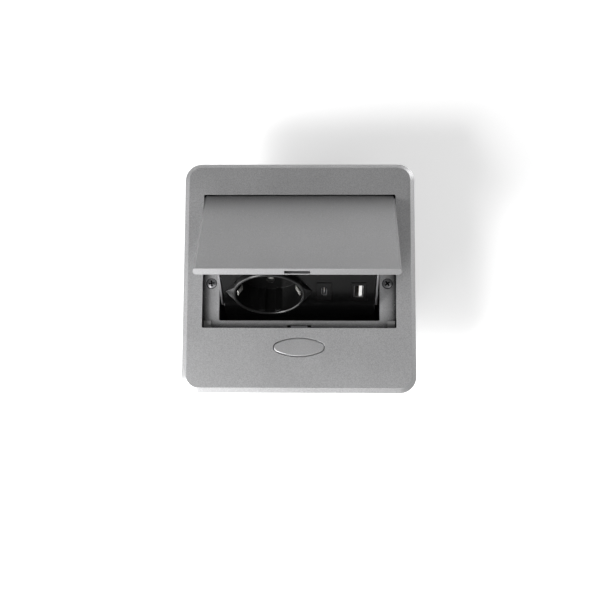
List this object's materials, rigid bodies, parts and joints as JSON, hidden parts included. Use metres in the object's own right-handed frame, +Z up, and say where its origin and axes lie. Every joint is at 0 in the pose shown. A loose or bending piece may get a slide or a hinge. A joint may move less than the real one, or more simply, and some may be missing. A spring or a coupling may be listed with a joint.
{
  "type": "in-desk power module",
  "caption": "Square flush cover plate with an oval release button and a hinged lid raised over a tilted panel with a power socket and USB charging ports.",
  "frame": {"origin": "middle of the square cover plate's outline, on the plane of its underside where it lies on the desk", "axes": "+Z up out of the desk, +X to the right and -Y to the front, where the release button is"},
  "size_m": [0.14, 0.14, 0.1198],
  "materials": {
    "satin_metal": "satin anodised",
    "button_metal": "satin anodised",
    "black_gloss": "polished",
    "black_plastic": "fine satin",
    "inner_plastic": "moulded",
    "shutter_plastic": "moulded",
    "white_plastic": "moulded",
    "dark_tongue": "moulded",
    "board": "solder mask",
    "sheet_steel": "rolled sheet",
    "steel": "turned",
    "spring_steel": "bright wire and strip",
    "black_screws": "black oxide",
    "brass": "stamped",
    "rubber": "moulded",
    "box_plastic": "moulded",
    "clamp_metal": "die cast, plated"
  },
  "bodies": {
    "housing": {"cover_plate": "satin_metal", "hinge_pin_left": "steel", "hinge_pin_right": "steel", "lid_pad_left": "rubber", "lid_pad_right": "rubber", "latch_housing": "box_plastic", "button_springs": "spring_steel", "latch_spring": "spring_steel", "clamp_screw_left": "black_screws", "clamp_screw_right": "black_screws", "bottom_box": "box_plastic", "spring_rod": "steel", "lid_spring_left": "spring_steel", "lid_spring_right": "spring_steel", "cable_grommet": "rubber"},
    "lid_module": {"lid": "satin_metal", "cradle": "sheet_steel", "socket_panel": "black_gloss", "socket_insert": "black_plastic", "contact_block": "inner_plastic", "contact_upper": "brass", "contact_lower": "brass", "shutter_spring": "spring_steel", "earth_bracket": "spring_steel", "usb_c_bezel": "black_gloss", "usb_a_bezel": "black_gloss", "usb_c_shell": "sheet_steel", "usb_a_shell": "sheet_steel", "usb_c_tongue": "dark_tongue", "usb_a_tongue": "white_plastic", "usb_board": "board", "usb_converter": "inner_plastic", "module_cover": "inner_plastic", "lead_bushing": "rubber", "terminal_block": "inner_plastic"},
    "button": {"release_button": "button_metal"},
    "bolt": {"latch_bolt": "steel"},
    "shutter_plate": {"shutter": "shutter_plastic"},
    "clamp_dog_left": {"clamp_left": "clamp_metal"},
    "clamp_dog_right": {"clamp_right": "clamp_metal"}
  },
  "joints": [
    {"name": "lid_hinge", "type": "hinge", "parent": "housing", "child": "lid_module", "pos_m": [0, 0.0483, 0.001], "axis": [1, 0, 0], "range_deg": [0, 45.84], "stiffness_Nm_per_rad": 0.3, "springref_deg": -68.75, "deforming": ["lid_spring_left", "lid_spring_right"]},
    {"name": "button_press", "type": "slide", "parent": "housing", "child": "button", "axis": [0, 0, -1], "range_m": [0, 0.002], "stiffness_N_per_m": 500, "springref_m": -0.003, "deforming": ["button_springs"]},
    {"name": "bolt_slide", "type": "slide", "parent": "housing", "child": "bolt", "axis": [0, -1, 0], "range_m": [0, 0.002], "stiffness_N_per_m": 300, "springref_m": -0.003, "deforming": ["latch_spring"]},
    {"name": "shutter_slide", "type": "slide", "parent": "lid_module", "child": "shutter_plate", "axis": [1, 0, 0], "range_m": [0, 0.006], "stiffness_N_per_m": 100, "springref_m": -0.003, "deforming": ["shutter_spring"]},
    {"name": "clamp_slide_left", "type": "slide", "parent": "housing", "child": "clamp_dog_left", "axis": [0, 0, 1], "range_m": [-0.014, 0.013]},
    {"name": "clamp_slide_right", "type": "slide", "parent": "housing", "child": "clamp_dog_right", "axis": [0, 0, 1], "range_m": [-0.014, 0.013]}
  ],
  "couplings": [
    {"joint": "bolt_slide", "follows": "button_press", "ratio": 1}
  ]
}
